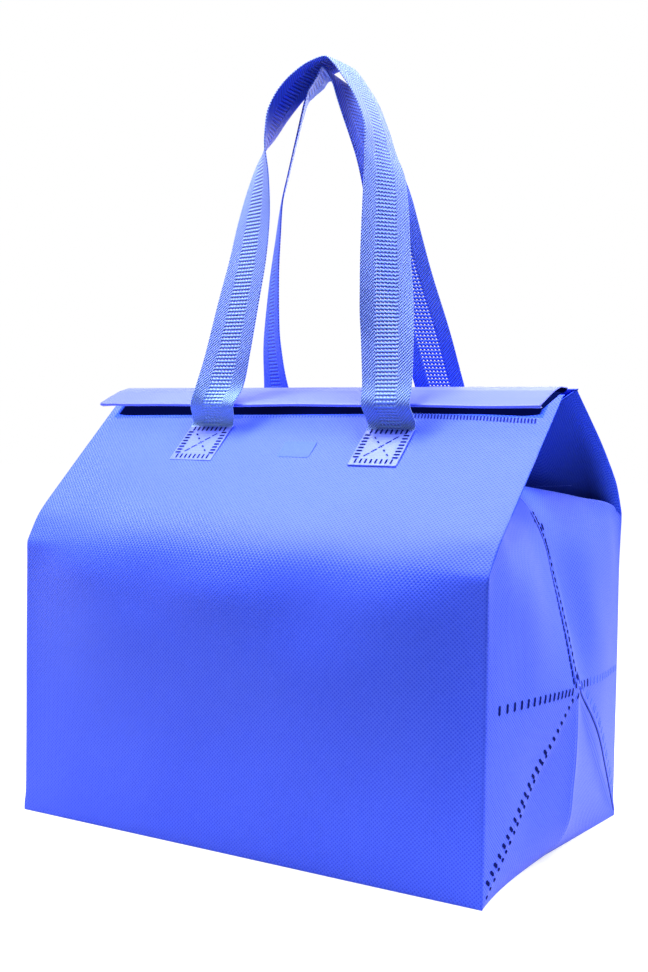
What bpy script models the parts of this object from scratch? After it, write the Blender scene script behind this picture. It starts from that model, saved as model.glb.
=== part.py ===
"""Non-woven carry bag with a gable top, a fold-over flap and two welded strap handles.

Metres, +Z up. The bag stands on z = 0, its front faces -Y, and the origin is the centre of its base.
"""
import math

import bmesh
import bpy
from mathutils import Vector

# Body: one web folded into front, base and back, welded to itself up each side
width = 0.350
depth = 0.222
fabric = 0.0010
gap = 0.0003

# Front panel: flat height, rounded shoulder, roof angle, and how far its top edge stops before mid-depth
panel_height = 0.3360
front_shoulder_length = 0.0229
front_shoulder_angle = math.radians(58.4)
front_roof_angle = math.radians(43.0)
front_mouth_offset = 0.0075

# Back panel: a little taller, its roof bends twice, and its top edge also stops before mid-depth
back_extra_height = 0.0062
back_shoulder_length = 0.0262
back_shoulder_angle = math.radians(61.5)
back_knee_length = 0.0419
back_knee_angle = math.radians(40.0)
back_roof_angle = math.radians(34.6)
back_mouth_offset = 0.0155

# Side seam: drawn in at the floor, bulging at the crossing, leaning in to a rolled crest, then tucked
seam_floor_inset = 0.007
seam_bulge = 0.013
seam_lean = 0.033
seam_roll = 0.025
seam_roll_power = 6
crest_rise = 0.038
tuck_depth = 0.050
tuck_drop = 0.008
crest_swell_out = 0.006
crest_swell_up = 0.003
crest_swell_place = 0.40

# Flap: doubled fabric, held inside the back panel and folded forward over the ridge
flap_thickness = 0.0012
flap_side_inset = 0.0015
flap_fall_length = 0.0350
flap_fall_angle = math.radians(20.6)
flap_crest_rise = 0.0002
flap_crest_advance = 0.0030
flap_crest_length = 0.0120
flap_tongue_length = 0.035
flap_tongue_setback = 0.014
flap_neck = 0.006

# Handles: welded patches on both roofs, held up together at one apex, the back one inside the front one.
# The back one hangs lower by a share of the strap's width, because its twisted edges need that room.
strap_width = 0.035
strap_thickness = 0.0011
handle_spacing = 0.143
handle_shift = -0.0022
patch_length = 0.0345
front_patch_below_mouth = 0.0345
back_patch_below_mouth = 0.0520
flap_edge_clearance = 0.0036
apex_rise = 0.2290
apex_drop_share = 0.1657
front_apex_x = 0.0025
front_apex_y = 0.003
front_apex_twist = math.radians(90)
back_apex_x = -0.0075
back_apex_y = 0.007
back_apex_twist = math.radians(70)
strap_stations = 56

# Hook-and-loop closure pads
pad_width = 0.025
pad_height = 0.015
pad_thickness = 0.0008
loop_pad_below_mouth = 0.0552
pad_centre_x = 0.007
hook_pad_from_edge = 0.0125

# Shape of each leg from its start to the apex: share of the rise, share of the half spacing, and twist.
# A front leg starts at the flap's edge and a back leg at its patch. The twist turns the strap's front
# face outward, from 0 degrees at the patch to 90 over the front apex.
front_left_leg = [
    (0.000, 0.915, -4), (0.055, 0.850, -16), (0.150, 0.800, -7), (0.310, 0.745, 3), (0.430, 0.705, 10),
    (0.550, 0.690, 18), (0.670, 0.683, 34), (0.755, 0.672, 52), (0.810, 0.610, 68), (0.858, 0.555, 79),
    (0.903, 0.465, 86), (0.937, 0.370, 89), (0.964, 0.262, 90), (0.988, 0.120, 90),
]
front_right_leg = [
    (0.000, 1.005, 1), (0.060, 0.998, 4), (0.180, 0.950, 13), (0.250, 0.916, 25), (0.320, 0.884, 38),
    (0.410, 0.840, 49), (0.570, 0.772, 61), (0.650, 0.726, 70), (0.720, 0.655, 83), (0.790, 0.585, 90),
    (0.870, 0.450, 90), (0.940, 0.280, 90), (0.980, 0.165, 90),
]
back_left_leg = [
    (0.127, 1.039, 26), (0.248, 1.042, 36), (0.337, 1.007, 41), (0.461, 0.927, 46), (0.566, 0.835, 50),
    (0.662, 0.744, 54), (0.735, 0.638, 56), (0.831, 0.500, 57), (0.936, 0.345, 58), (0.960, 0.265, 60),
    (0.980, 0.170, 65),
]
back_right_leg = [
    (0.127, 0.890, 24), (0.284, 0.771, 28), (0.449, 0.621, 32), (0.590, 0.520, 40), (0.650, 0.485, 48),
    (0.703, 0.445, 57), (0.753, 0.387, 67), (0.807, 0.309, 75), (0.869, 0.222, 81), (0.914, 0.168, 84),
    (0.959, 0.115, 87),
]


def clear_scene():
    for old in list(bpy.data.objects):
        bpy.data.objects.remove(old, do_unlink=True)


def fabric_material(name, colour, roughness):
    material = bpy.data.materials.new(name)
    material.use_nodes = True
    shader = material.node_tree.nodes["Principled BSDF"]
    shader.inputs["Base Color"].default_value = (*colour, 1.0)
    shader.inputs["Roughness"].default_value = roughness
    shader.inputs["Metallic"].default_value = 0.0
    return material


def panel_profile(height, mouth_offset, roof_angle, bends):
    """Points (distance from mid-depth, z) up one panel: floor, side row, wall top, bends and mouth."""
    run = depth / 2 - mouth_offset - sum(length * math.cos(angle) for length, angle in bends)
    roof_length = run / math.cos(roof_angle)
    out = depth / 2
    z = height - roof_length - sum(length for length, angle in bends)
    points = [(out, 0.0), (out, depth / 2), (out, z)]
    for length, angle in [*bends, (roof_length, roof_angle)]:
        out -= length * math.cos(angle)
        z += length * math.sin(angle)
        points.append((out, z))
    return points


front_profile = panel_profile(
    panel_height, front_mouth_offset, front_roof_angle, [(front_shoulder_length, front_shoulder_angle)]
)
back_profile = panel_profile(
    panel_height + back_extra_height,
    back_mouth_offset,
    back_roof_angle,
    [(back_shoulder_length, back_shoulder_angle), (back_knee_length, back_knee_angle)],
)
WALL_TOP = 2
front_mouth = Vector((0, -front_profile[-1][0], front_profile[-1][1]))
back_mouth = Vector((0, back_profile[-1][0], back_profile[-1][1]))


def seam_points():
    """Points (outset from the side, z) up the side seam: floor, crossing, lean, roll, crest and mouth."""
    cross_z = depth / 2
    crest_z = (front_profile[WALL_TOP][1] + back_profile[WALL_TOP][1]) / 2 + crest_rise
    points = [(-seam_floor_inset, 0.0)]
    for share in (0.0, 0.35, 0.70, 0.90, 1.0):
        outset = seam_bulge - seam_lean * share - seam_roll * share**seam_roll_power
        points.append((outset, cross_z + (crest_z - cross_z) * share))
    crest_outset = points[-1][0]
    points.append((crest_outset - tuck_depth, crest_z - tuck_drop))
    return points


def build_body(material):
    """Outer skin of the bag as one folded sheet, given its wall by a Solidify modifier."""
    points, faces = [], []

    def add(x, y, z):
        points.append((x, y, z))
        return len(points) - 1

    seam = seam_points()
    crest_outset, crest_z = seam[-2]
    corners = {}
    seams = {}
    for side in (-1, 1):
        centre = [add(side * (width / 2 + outset), 0, z) for outset, z in seam]
        seams[side] = centre
        for face, profile in ((-1, front_profile), (1, back_profile)):
            edge = [add(side * width / 2, face * out, z) for out, z in profile]
            corners[side, face] = edge
            wall_out, wall_z = profile[WALL_TOP]
            swell = add(
                side * (width / 2 + crest_outset * (1 - crest_swell_place) + crest_swell_out),
                face * wall_out * crest_swell_place,
                crest_z + (wall_z - crest_z) * crest_swell_place + crest_swell_up,
            )
            faces += [
                (edge[0], centre[0], centre[1]),
                (edge[0], centre[1], edge[1]),
                (edge[1], centre[1], centre[2], edge[2]),
                (edge[2], centre[2], centre[3]),
                (edge[2], centre[3], swell),
                (centre[3], centre[4], swell),
                (centre[4], centre[5], swell),
                (edge[2], swell, centre[6]),
                (swell, centre[5], centre[6]),
            ]
            faces += [(edge[i], centre[6], edge[i + 1]) for i in range(WALL_TOP, len(edge) - 1)]
    for face in (-1, 1):
        left, right = corners[-1, face], corners[1, face]
        faces += [(left[i], right[i], right[i + 1], left[i + 1]) for i in range(len(left) - 1)]
    front_left, front_right, back_right, back_left = (
        corners[side, face][0] for side, face in ((-1, -1), (1, -1), (1, 1), (-1, 1))
    )
    faces.append((front_left, front_right, seams[1][0], back_right, back_left, seams[-1][0]))
    body, wall = sheet_object("bag_body", points, faces, fabric, material)
    wall.solidify_mode = "NON_MANIFOLD"
    wall.nonmanifold_thickness_mode = "CONSTRAINTS"
    wall.nonmanifold_boundary_mode = "FLAT"
    wall.offset = -1
    return body


def sheet_object(name, points, faces, thickness, material):
    """A sheet of faces turned to face one way, and the Solidify modifier that thickens it both ways."""
    mesh = bpy.data.meshes.new(name)
    mesh.from_pydata(points, [], faces)
    work = bmesh.new()
    work.from_mesh(mesh)
    bmesh.ops.recalc_face_normals(work, faces=work.faces)
    work.to_mesh(mesh)
    work.free()
    mesh.materials.append(material)
    sheet = bpy.data.objects.new(name, mesh)
    bpy.context.scene.collection.objects.link(sheet)
    wall = sheet.modifiers.new("wall", "SOLIDIFY")
    wall.thickness = thickness
    wall.offset = 0
    wall.use_even_offset = True
    return sheet, wall


def strip_object(name, stations, thickness, material):
    """A thick strip with a left and a right edge point at each station."""
    points = [tuple(point) for station in stations for point in station]
    faces = [(2 * i, 2 * i + 1, 2 * i + 3, 2 * i + 2) for i in range(len(stations) - 1)]
    strip, wall = sheet_object(name, points, faces, thickness, material)
    return strip


def roof_point(mouth, angle, face, below_mouth, stand_off):
    """A point on a roof plane, a distance down from its mouth edge; stand_off is positive outward."""
    down = Vector((0, face * math.cos(angle), -math.sin(angle)))
    out = Vector((0, face * math.sin(angle), math.cos(angle)))
    return mouth + down * below_mouth + out * stand_off


def flap_tip_half():
    """Half width that clears the gusset's leaf where the flap leaves the back panel's inner face."""
    outset, leaf_z = seam_points()[-1]
    normal = Vector((0, math.sin(back_roof_angle), math.cos(back_roof_angle)))
    leaf_drop = (back_mouth - Vector((0, 0, leaf_z))).dot(normal)
    stack = 2 * fabric + 2 * gap + flap_thickness
    return width / 2 + stack * outset / leaf_drop


def flap_line():
    """Points across the flap with their half widths, from the tongue's end to the front edge."""
    inside = -(fabric + gap + flap_thickness / 2)
    full_half = width / 2 - flap_side_inset
    tongue_half = full_half - flap_tongue_setback
    tip = roof_point(back_mouth, back_roof_angle, 1, 0.0, inside)
    crest_z = max(front_mouth.z, back_mouth.z) + flap_crest_rise
    crest_front = Vector((0, front_mouth.y + flap_crest_advance, crest_z))
    crest_back = crest_front + Vector((0, flap_crest_length, 0))
    fall = Vector((0, -math.cos(flap_fall_angle), -math.sin(flap_fall_angle)))
    return [
        (roof_point(back_mouth, back_roof_angle, 1, flap_tongue_length, inside), tongue_half),
        (roof_point(back_mouth, back_roof_angle, 1, flap_neck, inside), tongue_half),
        (tip, flap_tip_half()),
        (crest_back, full_half),
        (crest_front, full_half),
        (crest_front + fall * flap_fall_length, full_half),
    ]


def build_flap(material):
    stations = [(point - Vector((half, 0, 0)), point + Vector((half, 0, 0))) for point, half in flap_line()]
    return strip_object("top_flap", stations, flap_thickness, material)


def smooth_path(points, count):
    """Evenly spaced stations on a Catmull-Rom curve through all but the first and last of the points.

    Each point is x, y, z and a twist, and the spacing is measured on x, y and z.
    """
    steps = 12
    fine = []
    for a, b, c, d in zip(points, points[1:], points[2:], points[3:]):
        for k in range(steps):
            t = k / steps
            line = (c - a) * t + (a * 2 - b * 5 + c * 4 - d) * t**2 + (b * 3 - a - c * 3 + d) * t**3
            fine.append(b + line / 2)
    fine.append(points[-2])
    lengths = [0.0]
    for a, b in zip(fine, fine[1:]):
        lengths.append(lengths[-1] + (b - a).xyz.length)
    result = []
    place = 0
    for k in range(count):
        target = lengths[-1] * k / (count - 1)
        while place < len(lengths) - 2 and lengths[place + 1] < target:
            place += 1
        share = (target - lengths[place]) / (lengths[place + 1] - lengths[place])
        result.append(fine[place].lerp(fine[place + 1], share))
    return result


def half_route(side, patch, start, leg, apex):
    """Points x, y, z and twist: along the welded patch, then up one leg from its start to the apex."""
    stations = [(point.y, point.z, 1.0, 0) for point in patch]
    for rise, spread, twist in leg:
        y = start.y + (apex.y - start.y) * rise
        z = start.z + (apex.z - start.z) * rise
        stations.append((y, z, spread, twist))
    points = []
    for y, z, spread, twist in stations:
        x = handle_shift + side * handle_spacing / 2 * spread
        turn = twist if side < 0 else 180 - twist
        points.append(Vector((x, y, z, math.radians(turn))))
    return points


def build_handle(name, patch, start, legs, apex, apex_twist, material):
    """One strap: straight along its welds, then a smooth curve from the left one over to the right one."""
    left, right = (half_route(side, patch, start, leg, apex) for side, leg in zip((-1, 1), legs))
    welded = len(patch) - 1
    curve = [*left[welded - 1:], Vector((*apex, apex_twist)), *reversed(right[welded - 1:])]
    stations = []
    for x, y, z, turn in [*left[:welded], *smooth_path(curve, strap_stations), *reversed(right[:welded])]:
        across = Vector((math.cos(turn), -math.sin(turn), 0)) * strap_width / 2
        stations.append((Vector((x, y, z)) - across, Vector((x, y, z)) + across))
    return strip_object(name, stations, strap_thickness, material)


def patch_line(profile, face, below_mouth):
    """A strap's welded length laid on a panel, lower end first, with a point at each bend it crosses."""
    stand_off = gap + strap_thickness / 2
    corners = [Vector(point) for point in reversed(profile)]
    points = []
    above = 0.0
    last_normal = None
    for upper, lower in zip(corners, corners[1:]):
        step = lower - upper
        normal = Vector((-step.y, step.x)).normalized()
        if points and last_normal is not None:
            bisector = (normal + last_normal).normalized()
            points.append(upper + bisector * stand_off / bisector.dot(normal))
        for distance in (below_mouth, below_mouth + patch_length):
            if above <= distance < above + step.length:
                points.append(upper + step * (distance - above) / step.length + normal * stand_off)
        above += step.length
        last_normal = normal
        if above > below_mouth + patch_length:
            break
    return [Vector((0, face * out, z)) for out, z in reversed(points)]


def build_handles(material):
    """The front handle passes before the flap's edge; the back one nests inside and below it."""
    flap_edge = flap_line()[-1][0]
    rim = flap_edge - Vector((0, (flap_thickness + strap_thickness) / 2 + flap_edge_clearance, 0))
    apex_z = front_mouth.z + apex_rise
    apex_drop = strap_width * apex_drop_share
    front = build_handle(
        "front_handle",
        patch_line(front_profile, -1, front_patch_below_mouth),
        rim,
        (front_left_leg, front_right_leg),
        Vector((front_apex_x, front_apex_y, apex_z)),
        front_apex_twist,
        material,
    )
    back_patch = patch_line(back_profile, 1, back_patch_below_mouth)
    back = build_handle(
        "back_handle",
        back_patch,
        back_patch[-1],
        (back_left_leg, back_right_leg),
        Vector((back_apex_x, back_apex_y, apex_z - apex_drop)),
        back_apex_twist,
        material,
    )
    return [front, back]


def pad_object(name, centre, tilt, material):
    """A small rectangular pad at its place, tilted about X to lie along its panel."""
    half = Vector((pad_width / 2, pad_height / 2, 0))
    points = [(-half.x, -half.y, 0), (half.x, -half.y, 0), (half.x, half.y, 0), (-half.x, half.y, 0)]
    pad, wall = sheet_object(name, points, [(0, 1, 2, 3)], pad_thickness, material)
    pad.location = centre
    pad.rotation_euler = (tilt, 0, 0)
    return pad


def build_pads(loop_material, hook_material):
    stand_off = gap + pad_thickness / 2
    loop_centre = roof_point(front_mouth, front_roof_angle, -1, loop_pad_below_mouth, stand_off)
    loop_centre.x = pad_centre_x
    loop = pad_object("loop_pad", loop_centre, front_roof_angle, loop_material)
    edge = flap_line()[-1][0]
    back = Vector((0, math.cos(flap_fall_angle), math.sin(flap_fall_angle)))
    under = Vector((0, math.sin(flap_fall_angle), -math.cos(flap_fall_angle)))
    hook_centre = edge + back * hook_pad_from_edge + under * (stand_off + flap_thickness / 2)
    hook_centre.x = pad_centre_x
    hook = pad_object("hook_pad", hook_centre, flap_fall_angle, hook_material)
    return [loop, hook]


def main():
    clear_scene()
    cloth = fabric_material("laminated_nonwoven", (0.13, 0.20, 0.85), 0.55)
    webbing = fabric_material("strap_nonwoven", (0.16, 0.27, 0.90), 0.60)
    loops = fabric_material("loop_pile", (0.13, 0.20, 0.83), 0.80)
    hooks = fabric_material("hook_strip", (0.10, 0.15, 0.70), 0.50)
    pieces = [build_body(cloth), build_flap(cloth), *build_handles(webbing), *build_pads(loops, hooks)]
    bag = bpy.data.objects.new("bag", None)
    bpy.context.scene.collection.objects.link(bag)
    for piece in pieces:
        piece.parent = bag


main()
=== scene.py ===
import math

import bmesh
import bpy
import numpy as np
from mathutils import Matrix, Vector
from mathutils.bvhtree import BVHTree


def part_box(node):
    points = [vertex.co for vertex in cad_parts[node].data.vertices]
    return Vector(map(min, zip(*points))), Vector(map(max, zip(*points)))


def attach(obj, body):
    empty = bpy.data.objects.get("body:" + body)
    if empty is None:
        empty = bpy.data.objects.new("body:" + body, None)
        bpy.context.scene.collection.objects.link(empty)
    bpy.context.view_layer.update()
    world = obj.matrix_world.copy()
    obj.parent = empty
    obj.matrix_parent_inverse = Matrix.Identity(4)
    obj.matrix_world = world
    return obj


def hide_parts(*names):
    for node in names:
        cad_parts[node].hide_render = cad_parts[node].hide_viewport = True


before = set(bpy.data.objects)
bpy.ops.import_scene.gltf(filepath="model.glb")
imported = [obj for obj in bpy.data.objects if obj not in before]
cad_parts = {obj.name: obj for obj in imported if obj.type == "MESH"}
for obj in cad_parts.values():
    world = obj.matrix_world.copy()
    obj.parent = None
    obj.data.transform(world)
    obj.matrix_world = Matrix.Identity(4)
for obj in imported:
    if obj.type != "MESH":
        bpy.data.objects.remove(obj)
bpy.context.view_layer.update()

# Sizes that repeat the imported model's, in metres
WIDTH = 0.350
DEPTH = 0.222
FRONT_HEIGHT = 0.3360
BACK_HEIGHT = 0.3422
STRAP_WIDTH = 0.035
HANDLE_SPACING = 0.143
HANDLE_SHIFT = -0.0022
PATCH_LENGTH = 0.0345
FRONT_BELOW, BACK_BELOW = 0.0345, 0.0520
MODEL_STRAP, MODEL_FLAP, WELD_GAP = 0.0011, 0.0012, 0.0003
FLAP_CREST_Y = -0.0045
FLAP_FALL = 0.035

# Angles below level of the roof panels and of the flap's front part, in degrees
FRONT_ROOF, BACK_ROOF = 43.0, 34.6
FLAP_ANGLE = 20.6

# Thicknesses of the visual sheets
SKIN = 0.0007
FLAP_SHEET = 0.0006
STRAP_SHEET = 0.0009

# Pitches of the embossed dots and of the strap's net and ribs, and the width of its ribbed sides
DOT_PITCH_X = 0.0026
DOT_PITCH_Y = 0.0025
NET_PITCH = 0.0026
NET_CELLS = 6
TWILL_PITCH = 0.0022
SIDE_BAND = 0.0098


# ---------------------------------------------------------------- camera

def look_from(position, yaw, pitch, roll, focal_px, centre_px, image=(648, 972), sensor=36.0):
    """Camera whose axes and principal point repeat the fitted view."""
    ahead = Vector((-math.sin(yaw) * math.cos(pitch), math.cos(yaw) * math.cos(pitch), -math.sin(pitch)))
    right = Vector((math.cos(yaw), math.sin(yaw), 0))
    up = right.cross(ahead)
    right_rolled = right * math.cos(roll) + up * math.sin(roll)
    up_rolled = up * math.cos(roll) - right * math.sin(roll)
    data = bpy.data.cameras.new("photo_camera")
    data.sensor_width = sensor
    data.lens = focal_px * sensor / max(image)
    data.dof.use_dof = False
    data.shift_x = (image[0] / 2 - centre_px[0]) / max(image)
    data.shift_y = (centre_px[1] - image[1] / 2) / max(image)
    data.clip_start, data.clip_end = 0.01, 20
    camera = bpy.data.objects.new("photo_camera", data)
    turn = Matrix((right_rolled, up_rolled, -ahead)).transposed()
    camera.matrix_world = Matrix.Translation(position) @ turn.to_4x4()
    bpy.context.scene.collection.objects.link(camera)
    bpy.context.scene.camera = camera


look_from((0.4751, -0.7794, 0.2689), 0.5484, 0.0429, 0.0154, 1312.05, (324, 486))


# ---------------------------------------------------------------- materials

class Nodes:
    """Short calls for the nodes of one material."""

    def __init__(self, name):
        self.material = bpy.data.materials.new(name)
        self.material.use_nodes = True
        self.tree = self.material.node_tree
        self.shader = self.tree.nodes["Principled BSDF"]

    def node(self, kind, **settings):
        made = self.tree.nodes.new(kind)
        for key, value in settings.items():
            setattr(made, key, value)
        return made

    def put(self, socket, value):
        if isinstance(value, bpy.types.NodeSocket):
            self.tree.links.new(value, socket)
        else:
            socket.default_value = value

    def math(self, operation, a, b=None, clamp=False):
        made = self.node("ShaderNodeMath", operation=operation, use_clamp=clamp)
        self.put(made.inputs[0], a)
        if b is not None:
            self.put(made.inputs[1], b)
        return made.outputs[0]

    def uv(self):
        where = self.node("ShaderNodeUVMap", uv_map="cloth")
        split = self.node("ShaderNodeSeparateXYZ")
        self.put(split.inputs[0], where.outputs[0])
        return split.outputs[0], split.outputs[1]

    def wave(self, value, pitch):
        """Cosine of a length in metres, one period for each pitch."""
        return self.math("COSINE", self.math("MULTIPLY", value, 2 * math.pi / pitch))

    def noise(self, scale, detail, roughness):
        made = self.node("ShaderNodeTexNoise")
        made.inputs["Scale"].default_value = scale
        made.inputs["Detail"].default_value = detail
        made.inputs["Roughness"].default_value = roughness
        self.put(made.inputs["Vector"], self.node("ShaderNodeTexCoord").outputs["Object"])
        return made.outputs[0]

    def ramp(self, value, low, high, a, b):
        """Moves a value from the range low..high to a..b, held inside it."""
        made = self.node("ShaderNodeMapRange")
        self.put(made.inputs[0], value)
        for place, number in zip((1, 2, 3, 4), (low, high, a, b)):
            self.put(made.inputs[place], number)
        return made.outputs[0]

    def mix(self, factor, a, b):
        made = self.node("ShaderNodeMix", data_type="RGBA")
        self.put(made.inputs[0], factor)
        self.put(made.inputs[6], a if isinstance(a, bpy.types.NodeSocket) else (*a, 1))
        self.put(made.inputs[7], b if isinstance(b, bpy.types.NodeSocket) else (*b, 1))
        return made.outputs[2]

    def bump(self, height, distance, normal=None):
        made = self.node("ShaderNodeBump")
        made.inputs["Strength"].default_value = 1.0
        made.inputs["Distance"].default_value = distance
        self.put(made.inputs["Height"], height)
        if normal is not None:
            self.put(made.inputs["Normal"], normal)
        return made.outputs[0]


CLOTH_DARK = (0.010, 0.046, 0.86)
CLOTH_LIGHT = (0.057, 0.125, 0.98)


def cloth_material(name, dark, light, roughness, emboss=1.0, sheen=0.15, paints_fold_shade=False, gloss=0.5):
    """Laminated non-woven: a staggered grid of pressed dots, faint fibres and slow colour drift; with
    paints_fold_shade the colour is also mixed to near-black painted shade where the painted_light_and_shade attribute
    is set.
    """
    n = Nodes(name)
    u, v = n.uv()
    lattice = n.math("MULTIPLY", n.wave(u, DOT_PITCH_X), n.wave(v, DOT_PITCH_Y))
    dots = n.ramp(lattice, -0.2, 0.8, 0.0, 1.0)
    fibres = n.noise(900, 3, 0.6)
    drift = n.noise(14, 2, 0.5)
    shade = n.math("MULTIPLY_ADD", dots, -0.85)
    shade.node.inputs[2].default_value = 0.86
    shade = n.math("ADD", shade, n.ramp(fibres, 0.3, 0.7, -0.14, 0.14))
    shade = n.math("ADD", shade, n.ramp(drift, 0.3, 0.7, -0.06, 0.06), clamp=True)
    colour = n.mix(shade, dark, light)
    if paints_fold_shade:
        # Painted shade: where the painted_light_and_shade attribute is set, the colour goes near-black, in the pocket
        # behind each crest and under the flap.
        painted_light_and_shade = n.node("ShaderNodeAttribute", attribute_name="painted_light_and_shade")
        colour = n.mix(painted_light_and_shade.outputs["Fac"], colour, (0.0004, 0.0012, 0.022))
    n.put(n.shader.inputs["Base Color"], colour)
    n.put(n.shader.inputs["Roughness"], n.ramp(dots, 0, 1, roughness + 0.05, roughness - 0.10))
    n.shader.inputs["Specular IOR Level"].default_value = gloss
    n.shader.inputs["Sheen Weight"].default_value = sheen
    n.shader.inputs["Sheen Roughness"].default_value = 0.5
    height = n.math("MULTIPLY", dots, -emboss)
    first = n.bump(height, 0.00020)
    n.put(n.shader.inputs["Normal"], n.bump(fibres, 0.00002, first))
    return n.material


def strap_material(name, dark, light, roughness, weave=1.0, sheen=0.3):
    """Strap: dotted diagonal ribs along both sides and cross threads over the open net in the middle, mixed towards
    light blue as painted light where the painted_light_and_shade attribute is set.
    """
    n = Nodes(name)
    u, v = n.uv()
    side = n.math("GREATER_THAN", n.math("ABSOLUTE", u), STRAP_WIDTH / 2 - SIDE_BAND)
    slanted = n.math("ADD", v, n.math("MULTIPLY", u, -1.0))
    counter = n.math("ADD", v, n.math("MULTIPLY", u, 1.6))
    ribs = n.wave(slanted, TWILL_PITCH)
    knots = n.wave(counter, TWILL_PITCH * 1.02)
    twill = n.math("ADD", n.math("MULTIPLY", ribs, 0.6), n.math("MULTIPLY", knots, 0.4))
    cross = n.math("MULTIPLY", n.wave(v, NET_PITCH), 0.55)
    cross = n.math("ADD", cross, n.math("MULTIPLY", n.wave(n.math("ADD", u, v), NET_PITCH), 0.35))
    height = n.math("ADD", n.math("MULTIPLY", side, twill), n.math("MULTIPLY", n.math("SUBTRACT", 1.0, side), cross))
    fibres = n.noise(1400, 3, 0.6)
    shade = n.ramp(height, -0.42 / weave, 0.40 / weave, 0.0, 1.0)
    shade = n.math("ADD", shade, n.ramp(fibres, 0.3, 0.7, -0.12, 0.12), clamp=True)
    # Painted light: where the painted_light_and_shade attribute is set, the strap's colour is mixed towards a light
    # blue.
    painted_light_near_weld = n.node("ShaderNodeAttribute", attribute_name="painted_light_and_shade")
    colour = n.mix(shade, dark, light)
    n.put(n.shader.inputs["Base Color"], n.mix(painted_light_near_weld.outputs["Fac"], colour, (0.24, 0.46, 1.0)))
    n.shader.inputs["Roughness"].default_value = roughness
    n.shader.inputs["Specular IOR Level"].default_value = 0.5
    n.shader.inputs["Sheen Weight"].default_value = sheen
    n.shader.inputs["Sheen Roughness"].default_value = 0.5
    first = n.bump(n.math("MULTIPLY", height, weave), 0.00025)
    n.put(n.shader.inputs["Normal"], n.bump(fibres, 0.00004, first))
    return n.material


def weld_material(name, colour, roughness):
    """Melted film at the bottom of a weld mark, dark and smooth with a slight ripple."""
    n = Nodes(name)
    ripple = n.noise(700, 2, 0.5)
    n.put(n.shader.inputs["Base Color"], n.mix(ripple, [c * 0.6 for c in colour], colour))
    n.shader.inputs["Roughness"].default_value = roughness
    n.shader.inputs["Specular IOR Level"].default_value = 0.04
    n.put(n.shader.inputs["Normal"], n.bump(ripple, 0.00005))
    return n.material


def pad_material(name, dark, light):
    """Closure tape: a fine pile of loops or hooks."""
    n = Nodes(name)
    pile = n.noise(1500, 4, 0.7)
    n.put(n.shader.inputs["Base Color"], n.mix(n.ramp(pile, 0.3, 0.7, 0, 1), dark, light))
    n.shader.inputs["Roughness"].default_value = 0.6
    n.shader.inputs["Specular IOR Level"].default_value = 0.3
    n.shader.inputs["Sheen Weight"].default_value = 0.06
    n.put(n.shader.inputs["Normal"], n.bump(pile, 0.0002))
    return n.material


body_cloth = cloth_material("body_cloth", CLOTH_DARK, CLOTH_LIGHT, 0.50, sheen=0.06, paints_fold_shade=True, gloss=0.30)
# Unglossy copy of the body cloth for the polygons that carry painted shade, so that reflections do not lift the
# painted black.
painted_shade_cloth = cloth_material("painted_shade_cloth", CLOTH_DARK, CLOTH_LIGHT, 0.70, sheen=0.0, paints_fold_shade=True, gloss=0.0)
flap_cloth = cloth_material("flap_cloth", (0.038, 0.071, 0.88), (0.055, 0.094, 0.92), 0.48, 0.2, 0.34)
# Near-black painted shade for the flap's under layer and inner sides, where the flap's own shade would fall.
UNDER_FLAP_SHADE = (0.0005, 0.0015, 0.025), (0.001, 0.003, 0.045)
under_flap_shade_cloth = cloth_material("under_flap_shade_cloth", *UNDER_FLAP_SHADE, 0.8, 0.3, 0.0, gloss=0.0)
# Painted highlight: the flap's folded front edge is given a lighter blue than the rest of the flap.
rim_highlight_cloth = cloth_material("rim_highlight_cloth", (0.16, 0.22, 0.94), (0.20, 0.27, 0.97), 0.5, 0.2, 0.3)
strap_cloth = strap_material("strap_cloth", (0.001, 0.006, 0.40), (0.125, 0.290, 0.98), 0.50)
# Painted shade: the straps' inner sides, welded ends included, take a darker copy of the strap's blue.
strap_inner_shaded = strap_material("strap_inner_shaded", (0.001, 0.014, 0.38), (0.024, 0.125, 0.93), 0.55, 0.8, 0.05)
patch_cloth = strap_material("patch_cloth", (0.028, 0.078, 0.79), (0.050, 0.120, 0.91), 0.45, 0.15)
weld_film = weld_material("weld_film", (0.002, 0.006, 0.12), 0.8)
hem_film = weld_material("hem_film", (0.005, 0.014, 0.24), 0.6)
light_hem_film = weld_material("light_hem_film", (0.035, 0.075, 0.62), 0.5)
pale_film = weld_material("pale_film", (0.11, 0.20, 0.95), 0.5)
pad_pile = pad_material("pad_pile", (0.022, 0.072, 0.88), (0.058, 0.134, 0.97))


# ---------------------------------------------------------------- helpers for grids and sheets

def spread(count, crowd=0.7):
    """Shares from 0 to 1, closer together at both ends."""
    x = np.linspace(0, 1, count)
    return x - crowd * np.sin(2 * math.pi * x) / (2 * math.pi)


def bell(x, centre, width):
    return np.exp(-(((x - centre) / width) ** 2))


def rise(x, low, high):
    """Smooth step from 0 at low to 1 at high."""
    t = np.clip((x - low) / (high - low), 0, 1)
    return t * t * (3 - 2 * t)


def ripple(x, y, phase):
    """Slow waves of about one unit, the same in every run."""
    return (
        np.sin(x * 21 + y * 9 + phase)
        + 0.6 * np.sin(x * 43 - y * 31 + phase * 2.3)
        + 0.4 * np.sin(-x * 17 + y * 67 + phase * 3.7)
    ) / 2


def lengths_along(points):
    """Length of a polyline from its start to each of its points."""
    return np.concatenate([[0], np.cumsum(np.linalg.norm(np.diff(points, axis=0), axis=1))])


def at_lengths(wanted, lengths, points):
    """Points of a polyline at the wanted lengths."""
    return np.stack([np.interp(wanted, lengths, points[:, c]) for c in range(points.shape[1])], -1)


def add_object(name, mesh, *materials):
    for material in materials:
        mesh.materials.append(material)
    made = bpy.data.objects.new(name, mesh)
    bpy.context.scene.collection.objects.link(made)
    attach(made, "root")
    return made


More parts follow.
